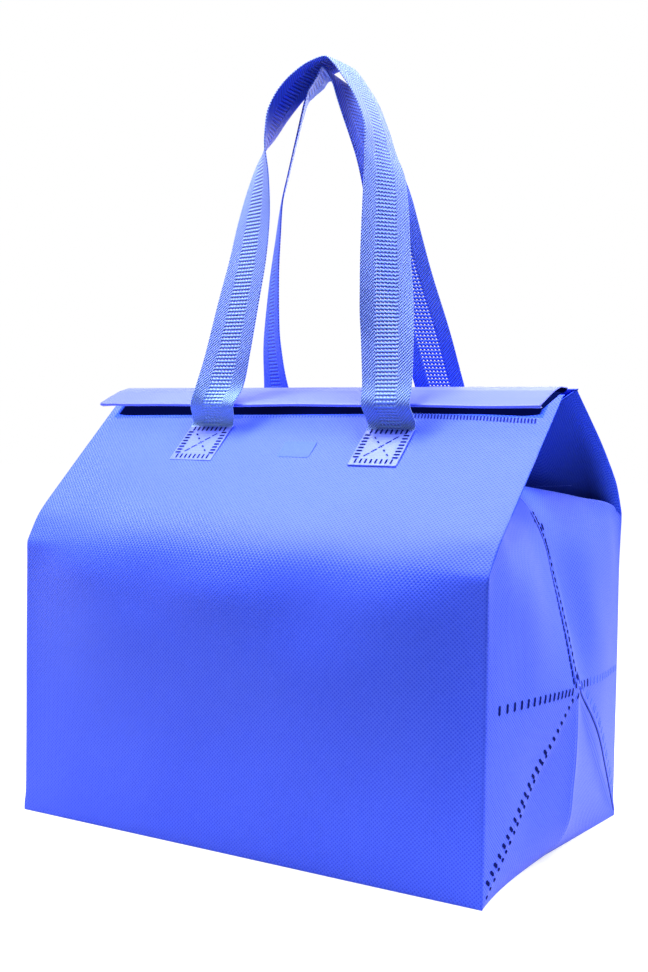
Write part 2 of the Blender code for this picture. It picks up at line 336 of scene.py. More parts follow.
class Sheet:
    """Collects grids of points with cloth coordinates and joins them into one mesh."""

    def __init__(self):
        self.points, self.uvs, self.faces = [], [], []
        self.shares = {"soft": [], "painted_light_and_shade": []}

    def add_grid(self, points, uvs, flip=False, drop=None, soft=None, painted_light_and_shade=None):
        rows, columns = points.shape[:2]
        first = sum(len(p) for p in self.points)
        for name, share in (("soft", soft), ("painted_light_and_shade", painted_light_and_shade)):
            self.shares[name].append(np.zeros(rows * columns) if share is None else share.reshape(-1))
        self.points.append(points.reshape(-1, 3))
        self.uvs.append(uvs.reshape(-1, 2))
        index = first + np.arange(rows * columns).reshape(rows, columns)
        a, b, c, d = index[:-1, :-1], index[:-1, 1:], index[1:, 1:], index[1:, :-1]
        quads = np.stack([a, d, c, b] if flip else [a, b, c, d], -1)
        if drop is not None:
            quads = quads[~drop]
        self.faces.append(quads.reshape(-1, 4))

    def mesh(self, name, weld=2e-6):
        points, uvs = np.concatenate(self.points), np.concatenate(self.uvs)
        faces = np.concatenate(self.faces)
        mesh = bpy.data.meshes.new(name)
        mesh.from_pydata(points.tolist(), [], faces.tolist())
        layer = mesh.uv_layers.new(name="cloth")
        layer.data.foreach_set("uv", uvs[faces.reshape(-1)].astype(np.float32).reshape(-1))
        mesh.polygons.foreach_set("use_smooth", np.ones(len(mesh.polygons), dtype=bool))
        for share_name, values in self.shares.items():
            layer = mesh.attributes.new(share_name, "FLOAT", "POINT")
            layer.data.foreach_set("value", np.concatenate(values).astype(np.float32))
        work = bmesh.new()
        work.from_mesh(mesh)
        bmesh.ops.remove_doubles(work, verts=work.verts, dist=weld)
        bmesh.ops.delete(work, geom=[p for p in work.verts if not p.link_faces], context="VERTS")
        bmesh.ops.recalc_face_normals(work, faces=work.faces)
        lowest = min(work.faces, key=lambda f: f.calc_center_median().z)
        if lowest.normal.z > 0:
            bmesh.ops.reverse_faces(work, faces=work.faces)
        work.to_mesh(mesh)
        work.free()
        return mesh


def soften(piece, rounds):
    """Rounds folds: each point moves towards the mean of its neighbours by its own softness."""
    mesh = piece.data
    count = len(mesh.vertices)
    points = np.empty(count * 3)
    mesh.vertices.foreach_get("co", points)
    points = points.reshape(-1, 3)
    edges = np.empty(len(mesh.edges) * 2, dtype=np.int32)
    mesh.edges.foreach_get("vertices", edges)
    a, b = edges.reshape(-1, 2).T
    share = np.empty(count)
    mesh.attributes["soft"].data.foreach_get("value", share)
    work = bmesh.new()
    work.from_mesh(mesh)
    share[[v.index for v in work.verts if v.is_boundary]] = 0
    work.free()
    near = np.bincount(a, minlength=count) + np.bincount(b, minlength=count)
    for _ in range(rounds):
        mean = np.stack(
            [np.bincount(a, points[b, c], count) + np.bincount(b, points[a, c], count) for c in range(3)], -1
        ) / near[:, None]
        points += (mean - points) * share[:, None] * 0.6
    mesh.vertices.foreach_set("co", points.reshape(-1))
    mesh.update()


def thicken(piece, thickness, offset, inner_slots=0):
    """Gives a sheet its real thickness; its inner side takes the materials inner_slots further on."""
    wall = piece.modifiers.new("wall", "SOLIDIFY")
    wall.thickness = thickness
    wall.offset = offset
    wall.use_even_offset = False
    wall.material_offset = inner_slots
    done = bpy.data.meshes.new_from_object(piece.evaluated_get(bpy.context.evaluated_depsgraph_get()))
    piece.modifiers.clear()
    old = piece.data
    piece.data = done
    bpy.data.meshes.remove(old)


# ---------------------------------------------------------------- body

def corner_points(height, mouth_offset, roof_angle, bends):
    """Points (distance from mid-depth, z) up one panel: floor, wall top, bends and mouth."""
    angle = math.radians(roof_angle)
    run = DEPTH / 2 - mouth_offset - sum(length * math.cos(math.radians(a)) for length, a in bends)
    roof = run / math.cos(angle)
    out, z = DEPTH / 2, height - roof - sum(length for length, a in bends)
    points = [(out, 0.0), (out, z)]
    for length, a in [*bends, (roof, roof_angle)]:
        out -= length * math.cos(math.radians(a))
        z += length * math.sin(math.radians(a))
        points.append((out, z))
    return np.array(points)


front_corners = corner_points(FRONT_HEIGHT, 0.0075, FRONT_ROOF, [(0.0229, 58.4)])
back_corners = corner_points(BACK_HEIGHT, 0.0155, BACK_ROOF, [(0.0262, 61.5), (0.0419, 40.0)])


def along(corners, v):
    """Point at each length v up a profile, going straight on past both of its ends."""
    marks = lengths_along(corners)
    first, last = corners[1] - corners[0], corners[-1] - corners[-2]
    reach = 0.2
    marks = np.concatenate([[-reach], marks, [marks[-1] + reach]])
    ends = [corners[0] - first / np.hypot(*first) * reach, corners[-1] + last / np.hypot(*last) * reach]
    corners = np.concatenate([[ends[0]], corners, [ends[1]]])
    return at_lengths(v, marks, corners)


def rounded(corners, v, radius):
    """The same profile with its bends rounded over about the given length."""
    total = 0
    weights = 0
    for k in np.linspace(-2.2, 2.2, 23):
        weight = math.exp(-k * k / 2)
        total = total + weight * along(corners, v + k * radius)
        weights += weight
    return total / weights


# Rows of the grid up to the side's crossing, the wall top and the mouth, and columns of a panel
LEVELS = 34
MID_ROWS = 30
TOP_ROWS = 44
COLUMNS = 116
CREST_ROW = LEVELS + MID_ROWS - 2
CROSS_ROW = LEVELS - 1

# Height at which a side's level row, diagonals and seam cross
CROSS = DEPTH / 2


def row_lengths(corners):
    """Lengths up a panel for the grid's rows: to the side's crossing, to the wall top and to the mouth."""
    wall_top = corners[1][1]
    whole = wall_top + np.hypot(*np.diff(corners[1:], axis=0).T).sum()
    low = CROSS * spread(LEVELS)
    middle = CROSS + (wall_top - CROSS) * spread(MID_ROWS)
    high = wall_top + (whole - wall_top) * spread(TOP_ROWS)
    return np.concatenate([low, middle[1:], high[1:]])


# Soft bulges and hollows of each panel: x, length up the panel, widths and height in metres
FRONT_RELIEF = [
    (-0.118, 0.176, 0.034, 0.018, 0.0018), (-0.062, 0.160, 0.030, 0.022, -0.0016),
    (-0.008, 0.170, 0.040, 0.020, 0.0020), (0.052, 0.158, 0.030, 0.022, -0.0012),
    (0.110, 0.172, 0.040, 0.022, 0.0016), (0.105, 0.075, 0.034, 0.030, -0.0012),
    (-0.080, 0.050, 0.070, 0.036, 0.0010), (0.030, 0.045, 0.060, 0.030, 0.0006),
]
BACK_RELIEF = [
    (-0.090, 0.190, 0.050, 0.022, 0.0020), (0.060, 0.195, 0.055, 0.022, 0.0024),
    (-0.010, 0.120, 0.060, 0.040, 0.0012), (0.110, 0.090, 0.045, 0.040, -0.0008),
    (-0.120, 0.070, 0.045, 0.040, 0.0008),
]
# Belly of each panel: how far it stands out at heights up the panel
FRONT_BELLY = (
    [0, 0.03, 0.06, 0.10, 0.125, 0.145, 0.165, 0.190, 0.230, 0.290],
    [0, 0.0005, 0.0025, 0.0074, 0.0100, 0.0110, 0.0106, 0.0080, 0.0024, 0],
)
BACK_BELLY = (
    [0, 0.02, 0.05, 0.10, 0.15, 0.185, 0.21, 0.24, 0.29],
    [0, 0.0008, 0.0026, 0.0052, 0.0072, 0.0076, 0.0060, 0.0020, 0],
)


def smoothed(v, table, width):
    """Table value at v, averaged over a width."""
    return sum(np.interp(v + k * width, *table) * math.exp(-k * k) for k in np.linspace(-1.6, 1.6, 9)) / sum(
        math.exp(-k * k) for k in np.linspace(-1.6, 1.6, 9)
    )


def panel(face, corners, relief, belly, phase, lower):
    """Grid of one big panel, rows from floor to mouth, columns from left to right."""
    rows = row_lengths(corners)
    columns = spread(COLUMNS) * 2 - 1
    v, across = np.meshgrid(rows, columns, indexing="ij")
    x = across * WIDTH / 2
    edge = WIDTH / 2 - np.abs(x)
    inside = 1 - np.exp(-((edge / 0.028) ** 2))
    crisp = rounded(corners, v, 0.0025)
    loose = rounded(corners, v, 0.0150)
    place = crisp + (loose - crisp) * inside[..., None]
    slope = rounded(corners, v + 0.001, 0.006) - rounded(corners, v - 0.001, 0.006)
    slope /= np.linalg.norm(slope, axis=-1, keepdims=True)
    normal = np.stack([slope[..., 1], -slope[..., 0]], -1)
    lift = sum(h * bell(x, x0, wx) * bell(v, v0, wv) for x0, v0, wx, wv, h in relief)
    lift = lift + 0.00045 * ripple(x * 1.6, v * 1.6, phase)
    lift = lift * inside * rise(v, 0.0, 0.030) * (1 - 0.8 * rise(v, 0.235, 0.30))
    lift = lift + smoothed(v + lower * rise(x, -0.02, 0.13), belly, 0.012) * (1 - np.exp(-((edge / 0.052) ** 1.7)))
    place = place + normal * lift[..., None]
    widen = 0.0004 + 0.0021 * rise(v, 0.17, 0.22)
    x = x + across * widen
    points = np.stack([x, face * place[..., 0], place[..., 1]], -1)
    uvs = np.stack([x, v], -1)
    soft = (1 - rise(edge, 0.0035, 0.0105)) * rise(v, 0.004, 0.016)
    return points, uvs, soft


# Side seam from the floor: outset from the side and height, read off the photograph's right side
SEAM_LOW = [(-0.0072, 0.0), (0.0010, 0.0090), (0.0064, 0.0200), (0.0096, 0.0480), (0.0130, 0.1107)]
SEAM_HIGH = [
    (0.0130, 0.1107), (0.0040, 0.1469), (-0.0059, 0.1808), (-0.0134, 0.2051), (-0.0230, 0.2220),
    (-0.0307, 0.2300), (-0.0450, 0.2385),
]
# Where the tucked seam ends under the mouth, and how far it sinks inwards and down on its way
TUCK_END = (-0.0950, 0.2305)
VALLEY = (-0.0170, -0.0480)

# Crest of a side from the panel's edge to the seam: its drop and inset as shares of the seam's
CREST_AT = [0.0, 0.106, 0.240, 0.390, 0.600, 1.0]
CREST_DROP = [1.0, 0.70, 0.53, 0.46, 0.29, 0.0]
CREST_INSET = [0.0, 0.033, 0.078, 0.244, 0.444, 1.0]


def valley(grown):
    """How far the leaf is down in the fold behind the crest: 0 at the crest, 1 soon after, 0 at the mouth."""
    t = grown / 0.21
    return t**2 * np.exp(2 * (1 - t))


def curve(points, count, crowd=0.0):
    """Evenly spaced points along a polyline smoothed by a cubic through its points."""
    points = np.array(points, float)
    marks = lengths_along(points)
    fine = np.linspace(0, marks[-1], 400)
    tangents = np.gradient(points, marks, axis=0)
    k = np.clip(np.searchsorted(marks, fine, side="right") - 1, 0, len(marks) - 2)
    h = (marks[k + 1] - marks[k])[:, None]
    t = ((fine - marks[k])[:, None]) / h
    a, b, ta, tb = points[k], points[k + 1], tangents[k] * h, tangents[k + 1] * h
    line = (2 * t**3 - 3 * t**2 + 1) * a + (t**3 - 2 * t**2 + t) * ta + (3 * t**2 - 2 * t**3) * b + (t**3 - t**2) * tb
    lengths = lengths_along(line)
    return at_lengths(spread(count, crowd) * lengths[-1], lengths, line)


def seam_line():
    """Outset and height of the side seam at every row of the grid."""
    low = curve(SEAM_LOW, 80)
    heights = CROSS * spread(LEVELS)
    low = np.stack([np.interp(heights, low[:, 1] * CROSS / low[-1, 1], low[:, 0]), heights], -1)
    middle = curve(SEAM_HIGH, MID_ROWS, 0.4)
    tuck = np.linspace(0, 1, TOP_ROWS)[:, None]
    top = np.array(SEAM_HIGH[-1]) * (1 - tuck) + np.array(TUCK_END) * tuck
    top += valley(tuck) * np.array(VALLEY)
    return np.concatenate([low, middle[1:], top[1:]])


# Relief of half a side: share of the way to the seam, height, widths and height in metres
SIDE_RELIEF = {
    -1: [
        (0.42, 0.178, 0.26, 0.030, 0.0026), (0.55, 0.060, 0.20, 0.030, -0.0016),
        (0.30, 0.140, 0.16, 0.040, -0.0010), (0.90, 0.200, 0.12, 0.030, 0.0012),
    ],
    1: [
        (0.84, 0.155, 0.14, 0.045, -0.0042), (0.42, 0.195, 0.26, 0.030, 0.0026),
        (0.75, 0.215, 0.14, 0.012, -0.0014), (0.45, 0.130, 0.20, 0.030, 0.0012), (0.5, 0.075, 0.2, 0.03, 0.0008),
    ],
}


LEVEL_BULGE = 0.0016


def side_half(side, face, edge, corners, seam):
    """Grid of half a side: rows as the panel's, columns from the panel's edge to the side seam."""
    share = spread(LEVELS)
    rows = len(edge)
    wall_out, wall_z = corners[0][0], corners[1][1]
    grid = np.zeros((rows, LEVELS, 3))
    centre = np.stack([side * (WIDTH / 2 + seam[:, 0]), np.zeros(rows), seam[:, 1]], -1)
    t = share[None, :]
    base = edge[:, None, :] * (1 - t[..., None]) + centre[:, None, :] * t[..., None]
    grid[:] = base

    # Lower part: two facets that meet on the diagonal weld
    low = slice(0, CROSS_ROW + 1)
    level = share[:, None]
    below = level < t
    floor_inset = SEAM_LOW[0][0] * (1 - (1 - t) ** 3 if face < 0 else t)
    facet = np.where(below, floor_inset * (1 - level) + SEAM_LOW[-1][0] * level, SEAM_LOW[-1][0] * t)
    ridge = np.where(below, level * (1 - t) * 4 * (t - level), (t) * (level - t) * 4)
    facet = facet + np.where(below, 0.0026, LEVEL_BULGE) * np.clip(ridge, 0, 1)
    straight = SEAM_LOW[0][0] * (1 - level) + SEAM_LOW[-1][0] * level
    near_seam = np.clip((t - level) / np.maximum(1 - level, 1e-6), 0, 1) ** (1.5 if face < 0 else 1.2)
    facet = facet + (seam[low, 0:1] - straight) * np.where(below, near_seam, 0)
    grid[low, :, 0] = side * (WIDTH / 2 + facet)
    grid[low, :, 1] = face * wall_out * (1 - t)
    grid[low, :, 2] = CROSS * level

    # Crest line and the wall below it
    crest_z = seam[CREST_ROW, 1]
    drop = np.interp(share, CREST_AT, CREST_DROP)
    inset = np.interp(share, CREST_AT, CREST_INSET) * seam[CREST_ROW, 0]
    kernel = np.array([1, 2, 3, 2, 1]) / 9
    drop[2:-2], inset[2:-2] = np.convolve(drop, kernel, "valid"), np.convolve(inset, kernel, "valid")
    crest = crest_z - (crest_z - wall_z) * drop
    seam_mid = seam[CROSS_ROW:CREST_ROW + 1]
    progress = (seam_mid[:, 1] - seam_mid[0, 1]) / (seam_mid[-1, 1] - seam_mid[0, 1])
    roll = (seam_mid[0, 0] - seam_mid[:, 0]) / (seam_mid[0, 0] - seam_mid[-1, 0])
    panel_progress = (edge[CROSS_ROW:CREST_ROW + 1, 2] - CROSS) / (edge[CREST_ROW, 2] - CROSS)
    up = panel_progress[:, None] * (1 - t) + progress[:, None] * t
    late = np.clip(panel_progress[:, None], 0, 1) ** 2.2
    turn = late * (1 - t) + roll[:, None] * t
    start = SEAM_LOW[-1][0] * t + LEVEL_BULGE * np.clip(4 * t * (1 - t), 0, 1)
    outset = start + (inset[None, :] - start) * turn
    lump = 0.0030 if face > 0 else 0.0016
    skew = 0.72 if face > 0 else 0.50
    pillow = bell(t, skew, 0.26) * np.sin(math.pi * np.clip(up, 0, 1)) * (1 - t) ** 0.35
    mid = slice(CROSS_ROW, CREST_ROW + 1)
    grid[mid, :, 0] = side * (WIDTH / 2 + outset + lump * pillow)
    grid[mid, :, 1] = face * wall_out * (1 - t)
    grid[mid, :, 2] = CROSS + (crest[None, :] - CROSS) * up

    # Leaf above the crest, tucked in under the roof
    top = slice(CREST_ROW, rows)
    grown = np.linspace(0, 1, rows - CREST_ROW)[:, None]
    gap_to_crest = grid[CREST_ROW] - base[CREST_ROW]
    grid[top] = base[top] + gap_to_crest[None] * np.exp(-((grown / 0.10) ** 1.3))[..., None]
    sink = valley(grown) * rise(t, 0.02, 0.42) * (1 - t)
    sink += valley(grown) * 0.35 * bell(t, 0.45, 0.3) * (1 - t)
    grid[top, :, 0] += side * VALLEY[0] * sink
    grid[top, :, 2] += VALLEY[1] * sink

    # Hollows and bulges of the wall, out of its plane
    window = (1 - np.exp(-((t / 0.12) ** 2))) * (1 - np.exp(-(((1 - t) / 0.04) ** 2)))
    wall = slice(0, CREST_ROW + 1)
    z = grid[wall, :, 2]
    fade = rise(z, 0.0, 0.02) * (1 - rise(z, crest[None, :] - 0.018, crest[None, :] - 0.002))
    lift = sum(h * bell(t, t0, wt) * bell(z, z0, wz) for t0, z0, wt, wz, h in SIDE_RELIEF[face])
    grid[wall, :, 0] += side * lift * window * fade
    ridge_fold = np.exp(-(1 - t) / 0.07) * np.sin(math.pi * np.clip(z / CROSS, 0, 1)) * 0.0016
    grid[wall, :, 0] += side * ridge_fold

    grid[:, 0] = edge
    grid[:, -1] = centre
    ring = slice(CREST_ROW - 2, CREST_ROW + 3)
    before = grid[CREST_ROW - 3:CREST_ROW + 2, 1:-1]
    after = grid[CREST_ROW - 1:CREST_ROW + 4, 1:-1]
    grid[ring, 1:-1] = (grid[ring, 1:-1] * 2 + before + after) / 4
    lengths = np.concatenate(
        [np.zeros((1, LEVELS)), np.cumsum(np.linalg.norm(np.diff(grid, axis=0), axis=-1), axis=0)]
    )
    uvs = np.stack([side * (WIDTH / 2 + t * DEPTH / 2) + 0 * lengths, lengths], -1)
    soft = (1 - rise(t * DEPTH / 2, 0.0035, 0.0105)) * rise(grid[..., 2], 0.004, 0.016)
    # Painted shade on the tucked leaf: near-black just above the crest, fading towards the mouth and towards the
    # panel's edge; every leaf point gets a little, so the whole leaf takes the unglossy painted-shade material.
    painted_light_and_shade = np.zeros((rows, LEVELS))
    painted_light_and_shade[top] = rise(grown, 0.0, 0.045) * (1 - 0.80 * rise(grown, 0.22, 0.85)) * rise(t, 0.0, 0.13)
    painted_light_and_shade[CREST_ROW + 1:] = np.maximum(painted_light_and_shade[CREST_ROW + 1:], 0.002)
    return grid, uvs, soft, painted_light_and_shade


def under_flap(x):
    """Distance below the front mouth edge down to which the roof under the flap is painted near-black, a painted
    shadow of the flap.
    """
    return max(0.0204 - 0.018 * x, 0.0190) + 0.0016 * float(rise(x, 0.12, 0.17))


def build_body():
    """The bag's skin in one piece: two panels, the four halves of its sides and the floor."""
    sheet = Sheet()
    seam = seam_line()
    front, front_uv, front_soft = panel(-1, front_corners, FRONT_RELIEF, FRONT_BELLY, 0.7, 0.018)
    back, back_uv, back_soft = panel(1, back_corners, BACK_RELIEF, BACK_BELLY, 2.9, 0.0)
    sheet.add_grid(front, front_uv, soft=front_soft)
    sheet.add_grid(back, back_uv, flip=True, soft=back_soft)
    floor_edges = {}
    for side in (-1, 1):
        column = 0 if side < 0 else -1
        halves = {}
        for face, grid, corners in ((-1, front, front_corners), (1, back, back_corners)):
            half, uvs, soft, painted_light_and_shade = side_half(side, face, grid[:, column], corners, seam)
            sheet.add_grid(half, uvs, flip=side * face > 0, soft=soft, painted_light_and_shade=painted_light_and_shade)
            halves[face] = half
        floor_edges[side] = np.concatenate([halves[-1][0], halves[1][0][::-1][1:]])
    share = spread(COLUMNS)[None, :, None]
    base = floor_edges[-1][:, None] * (1 - share) + floor_edges[1][:, None] * share
    base_uv = np.stack([base[..., 0], -base[..., 1] - DEPTH / 2], -1)
    sheet.add_grid(base, base_uv, flip=True)
    mesh = sheet.mesh("bag_body_skin")
    body = add_object("bag_body_skin", mesh, body_cloth, painted_shade_cloth)
    soften(body, 9)
    layer, painted_light_and_shade = mesh.uv_layers["cloth"].data, mesh.attributes["painted_light_and_shade"].data
    mouth = row_lengths(front_corners)[-1]
    # Polygons touched by painted shade take the unglossy painted-shade material.
    for polygon in mesh.polygons:
        if max(painted_light_and_shade[k].value for k in polygon.vertices) > 0.001:
            polygon.material_index = 1
    # Painted shadow of the flap: a near-black band on the front roof from the mouth down to under_flap(x), stopping
    # short of the sides; its polygons take the unglossy painted-shade material too.
    for polygon in mesh.polygons:
        centre = polygon.center
        if polygon.material_index or centre.y > -0.004 or centre.z < 0.24 or abs(centre.x) > 0.1735:
            continue
        for loop, vertex in zip(polygon.loop_indices, polygon.vertices):
            x, v = layer[loop].uv
            painted_light_and_shade[vertex].value = min((under_flap(x) - (mouth - v)) / 0.0005, (0.1690 - abs(x)) / 0.003)
        if max(painted_light_and_shade[k].value for k in polygon.vertices) > 0:
            polygon.material_index = 1
    return body


body = build_body()


def tree_of(piece):
    return BVHTree.FromObject(piece, bpy.context.evaluated_depsgraph_get())


skin = tree_of(body)


# ---------------------------------------------------------------- weld marks

class Marks:
    """Small pressed marks laid on a surface: a raised melt rim round a sunk dark film."""

    def __init__(self, surface, steady=False):
        self.surface = surface
        self.steady = steady
        self.film_lift = 0.00022 if steady else 0.00008
        self.points, self.faces, self.slots = [], [], []

    def ground(self, point, normal, lift):
        near = self.surface.ray_cast(point + normal * 0.004, -normal, 0.012)
        return (near[0] if near[0] is not None else point) + normal * lift

    def add(self, place, normal, direction, length, width, rim=0.00020, film=1):
        hit = self.surface.ray_cast(place + normal * 0.012, -normal, 0.08)
        if hit[0] is None:
            return
        if not self.steady:
            normal = hit[1] if hit[1].dot(normal) > 0 else -hit[1]
        centre = hit[0]
        ahead = (direction - normal * direction.dot(normal)).normalized()
        across = normal.cross(ahead)
        half, radius = length / 2, width / 2
        film_lift, rim = self.film_lift, self.film_lift if self.steady else rim
        edge = 1 if self.steady else 2
        for a in (-half, half):
            tip_hit = self.surface.ray_cast(centre + ahead * a + normal * 0.004, -normal, 0.012)
            if tip_hit[0] is None or abs(tip_hit[1].dot(normal)) < 0.25:
                return
        rungs = [-half - 0.00045, -half - 0.0002, *[half * k / 5 for k in range(-5, 6)], half + 0.0002, half + 0.00045]
        first = len(self.points)
        for index, a in enumerate(rungs):
            over = max(abs(a) - (half - radius), 0) / radius
            wide = radius * math.sqrt(max(1 - over * over, 0.004))
            outer = index in (0, len(rungs) - 1)
            tip = index in (1, len(rungs) - 2)
            for b, lift in (
                (-wide - 0.00045, -0.00025), (-wide - 0.0002, rim), (-wide, rim * 0.9), (-wide + 0.00012, film_lift),
                (0.0, film_lift), (wide - 0.00012, film_lift), (wide, rim * 0.9), (wide + 0.0002, rim),
                (wide + 0.00045, -0.00025),
            ):
                if abs(b) < wide < 0.00014:
                    b = 0.0
                height = -0.00025 if outer else min(lift, rim) if not tip else (rim if lift > 0 else lift)
                self.points.append(tuple(self.ground(centre + ahead * a + across * b, normal, height)))
        rows, columns = len(rungs), 9
        for r in range(rows - 1):
            for c in range(columns - 1):
                a = first + r * columns + c
                self.faces.append([a, a + columns, a + columns + 1, a + 1])
                self.slots.append(film if edge <= r <= rows - 2 - edge and edge <= c <= columns - 2 - edge else 0)
        border = [first + c for c in range(columns)]
        border += [first + r * columns + columns - 1 for r in range(1, rows)]
        border += [first + (rows - 1) * columns + c for c in range(columns - 2, -1, -1)]
        border += [first + r * columns for r in range(rows - 2, 0, -1)]
        self.faces.append(border)
        self.slots.append(0)

    def strip(self, line, normal, width, lift, film):
        """Long narrow ridge along a line of points on the surface."""
        profile = [
            (-0.5, -0.0003), (-0.34, lift * 0.7), (0.0, lift), (0.34, lift * 0.7), (0.5, -0.0003), (0.0, -0.0006),
        ]
        rings = []
        for k, point in enumerate(line):
            ahead = (line[min(k + 1, len(line) - 1)] - line[max(k - 1, 0)]).normalized()
            across = normal.cross(ahead).normalized()
            taper = min(1.0, 0.25 + 0.25 * min(k, len(line) - 1 - k))
            ring = []
            for share, height in profile:
                at = point + across * share * width * taper
                hit = self.surface.ray_cast(at + normal * 0.012, -normal, 0.08)
                ground = hit[0] if hit[0] is not None else at
                ring.append(ground + normal * height)
            rings.append(ring)
        first, count = len(self.points), len(profile)
        for ring in rings:
            self.points += [tuple(p) for p in ring]
        for r in range(len(rings) - 1):
            for k in range(count):
                a, b = first + r * count + k, first + r * count + (k + 1) % count
                self.faces.append([a, a + count, b + count, b])
                self.slots.append(film)
        for r in (0, len(rings) - 1):
            ring = [first + r * count + k for k in range(count)]
            self.faces.append(ring if r else ring[::-1])
            self.slots.append(film)

    def build(self, name, slot, *materials):
        mesh = bpy.data.meshes.new(name)
        mesh.from_pydata(self.points, [], self.faces)
        work = bmesh.new()
        work.from_mesh(mesh)
        bmesh.ops.recalc_face_normals(work, faces=work.faces)
        work.to_mesh(mesh)
        work.free()
        layer = mesh.uv_layers.new(name="cloth")
        for loop in mesh.loops:
            p = mesh.vertices[loop.vertex_index].co
            layer.data[loop.index].uv = (p.x + p.y, p.z)
        made = add_object(name, mesh, *materials)
        for polygon, slot_index in zip(mesh.polygons, self.slots):
            polygon.material_index = slot_index
            polygon.use_smooth = slot_index != 1


def side_marks(side):
    """Welds of one side: level row, diagonals to the bottom corners and the seam above the crossing."""
    marks = Marks(skin, True)
    out = Vector((side, 0, 0))
    raised = Vector((side, 0, 0.7)).normalized()
    reach = WIDTH / 2 + 0.006

    def at(y, z):
        return Vector((side * reach, y, z))

    # Level row: upright dashes, closer together towards the crossing
    for k in range(15):
        share = k / 14
        y = -0.0974 + 0.0885 * (share + 0.42 * share * (1 - share) * (1 - 0.4 * share))
        z = 0.1100 + 0.0012 * (1 - 2 * share)
        marks.add(at(y, z), out, Vector((0, 0.05 + 0.25 * share, 1)), 0.0058 - 0.0008 * share, 0.0020 - 0.0004 * share)
    for k in range(15):
        share = k / 14
        marks.add(at(0.0105 + 0.092 * share, 0.1098 - 0.0034 * share), out, Vector((0, 0, 1)),
                  0.0054 - 0.0012 * share, 0.0018, film=1 if k < 3 else 2)
    # Front diagonal: short strokes across it, a second one beside each in its lower part
    top, bottom = Vector((0, -0.0078, 0.1030)), Vector((0, -0.1075, 0.0075))
    line = (bottom - top).normalized()
    across = Vector((0, line.z, -line.y))
    for k in range(24):
        share = k / 23
        centre = top.lerp(bottom, share) + across * (0.0016 * math.sin(share * math.pi))
        lean = across * (0.96 + 0.1 * math.sin(k * 2.1)) + line * 0.10
        if share < 0.30:
            marks.add(at(centre.y, centre.z), out, lean, 0.0044 + 0.003 * share, 0.0017)
        else:
            part = 0.0016 + 0.0012 * (share - 0.30)
            for sign, size in ((-1, 0.0048), (1, 0.0050)):
                place = centre + across * sign * part * 1.35 + line * sign * 0.0005 * math.sin(k * 1.7)
                marks.add(at(place.y, place.z), out, lean, size, 0.0020 if sign * math.sin(k * 2.9) > 0 else 0.0017)
    # Rear diagonal: a thin dark strip in weld film along the fold, painted shade of the fold's edge, with a faint row
    # of strokes beside it
    fold = []
    for k in range(40):
        share = k / 39
        y = 0.0012 + 0.1085 * share + 0.0050 * math.sin(math.pi * share) * (1 - 0.35 * share)
        fold.append(at(y, CROSS - 0.0015 - 0.1065 * share + 0.0062 * math.sin(math.pi * share)))
    marks.strip(fold, out, 0.0011, 0.0002, 1)
    lip = [p + Vector((0, 0.0010, 0.0010)) for p in fold]
    marks.strip(lip, out, 0.0016, 0.0006, 0)
    for k in range(22):
        p = fold[int(2 + k * 1.65)] + Vector((0, 0.0062, 0.0044))
        if abs(p.y) < DEPTH / 2 - 0.004:
            marks.add(p, out, Vector((0, 0.75, 0.65)), 0.0048, 0.0014, 0.0002, film=2)
    # Seam: a light strip between two rails of dashes
    rail = []
    for k in range(48):
        z = CROSS + 0.0020 + 0.1235 * k / 47
        rail.append(at(-0.0029, z))
    marks.strip(rail, out, 0.0036, 0.00050, 0)
    for k in range(27):
        z = CROSS + 0.0040 + 0.1190 * k / 26
        facing = out if z < 0.200 else raised
        marks.add(at(-0.0058, z), facing, Vector((0, 0.12, 1)), 0.0042, 0.0019, 0.00012)
        lean = Vector((0, 0.25 if k % 3 else 0.9, 1))
        marks.add(at(-0.0002, z + 0.0021), facing, lean, 0.0034 if k % 2 else 0.0026, 0.0017, 0.00012)
    for dy, dz, ay, az, size in (
        (-0.0060, 0.1180, 1, 0.3, 0.0040), (-0.0010, 0.1170, 0.6, 1, 0.0034), (-0.0045, 0.1150, 0.8, -0.7, 0.0034),
        (0.0030, 0.1130, 0.2, 1, 0.0036), (0.0016, 0.0060, 0.4, 1, 0.0048), (-0.0034, 0.0015, 0.5, 1, 0.0038),
        (0.0046, 0.0035, 0.1, 1, 0.0050), (0.0000, -0.0060, 0.7, 1, 0.0036),
    ):
        marks.add(at(dy, CROSS + dz), raised if dz > 0.1 else out, Vector((0, ay, az)), size + 0.0008, 0.0019, 0.00012)
    name = "side_welds_right" if side > 0 else "side_welds_left"
    marks.build(name, "laminated_nonwoven", body_cloth, weld_film, pale_film)


def roof_frame(face, corners, roof_angle, x, below_mouth):
    """Point on a roof panel below its mouth edge, the direction down the slope and the outward normal."""
    angle = math.radians(roof_angle)
    mouth = Vector((x, face * corners[-1][0], corners[-1][1]))
    down = Vector((0, face * math.cos(angle), -math.sin(angle)))
    out = Vector((0, face * math.sin(angle), math.cos(angle)))
    return mouth + down * below_mouth, down, out


def hem_marks(face, corners, roof_angle, name):
    """Slanted strokes along the welded hem of one roof, fine and light in the left part of the front."""
    marks = Marks(skin)
    count = 142
    for k in range(count + 1):
        x = -0.1655 + 0.331 * k / count
        bold = face > 0 or x > 0.05
        below = 0.0205
        if face < 0:
            below = under_flap(x) + (0.0014 + 0.0026 * float(rise(x, 0.05, 0.17)) if bold else 0.0018)
        place, down, out = roof_frame(face, corners, roof_angle, x, below)
        marks.add(place, out, down + Vector((0.22, 0, 0)), 0.0050 if bold else 0.0024, 0.0012 if bold else 0.0009,
                  0.00010, film=1 if bold else 2)
    marks.build(name, "laminated_nonwoven", body_cloth, hem_film, light_hem_film)


# ---------------------------------------------------------------- flap

